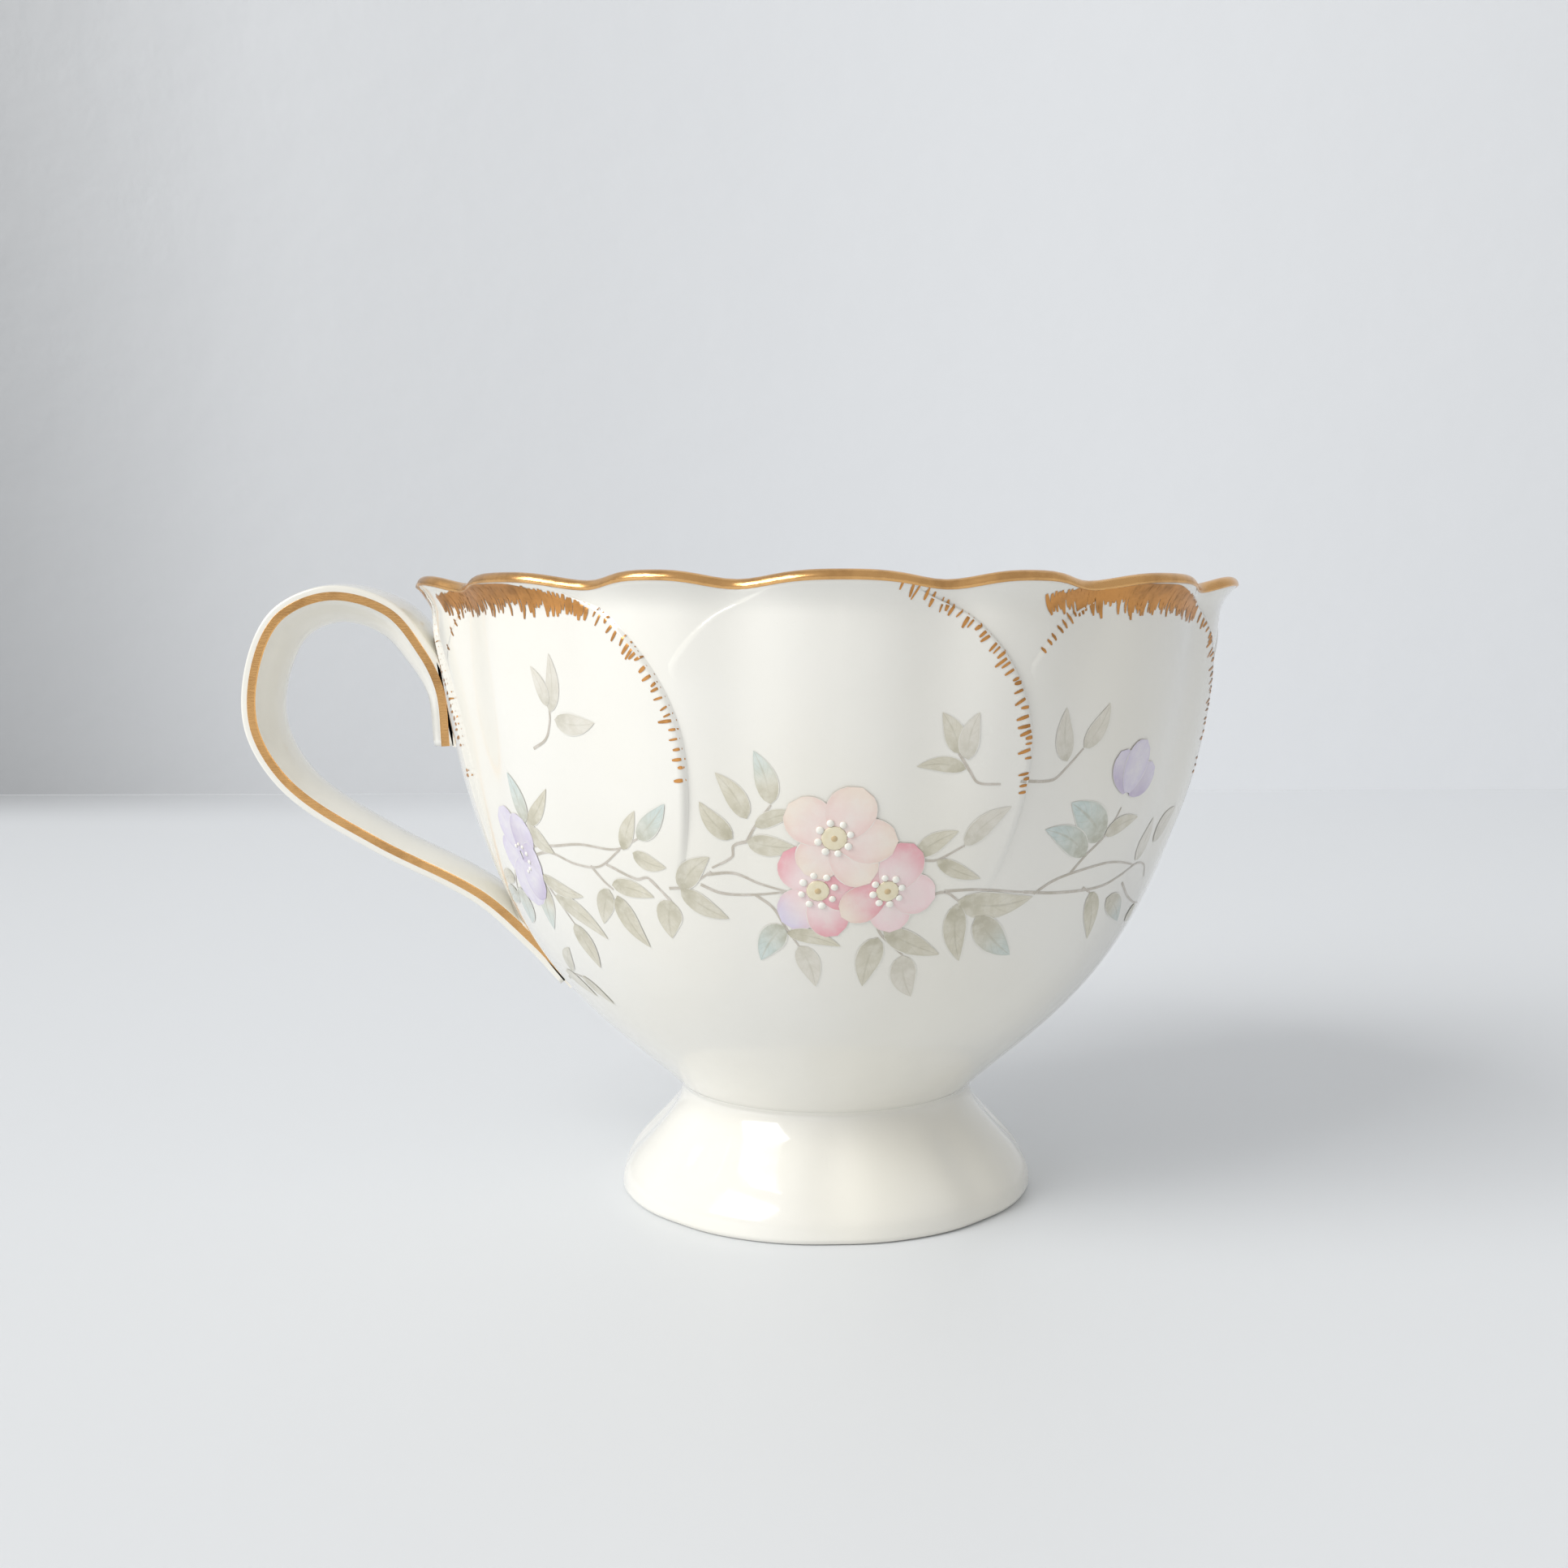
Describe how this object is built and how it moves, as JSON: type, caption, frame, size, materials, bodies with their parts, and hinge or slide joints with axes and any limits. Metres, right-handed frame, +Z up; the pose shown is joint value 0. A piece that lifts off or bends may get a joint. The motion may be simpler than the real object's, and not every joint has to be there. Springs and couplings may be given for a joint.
{
  "type": "teacup",
  "caption": "Footed china teacup with a scalloped flared lip, a fluted tapering bowl, a flared lobed foot ring and a looped strap handle.",
  "frame": {"origin": "on the cup's axis, in the plane of the table that the foot ring stands on", "axes": "+Z up along the cup's axis; the handle points towards -X, so +X is the side away from it"},
  "size_m": [0.1164, 0.0964, 0.0727],
  "materials": {
    "china": "clear glossy glaze on ivory bone china",
    "slip": "fired slip",
    "gold": "burnished gold film"
  },
  "bodies": {
    "root": {"bowl": "china", "foot": "china", "handle": "china", "foot_joint": "slip", "upper_handle_joint": "slip", "lower_handle_joint": "slip", "rim_gilding": "gold", "handle_gilding_front": "gold", "handle_gilding_rear": "gold"}
  },
  "joints": []
}
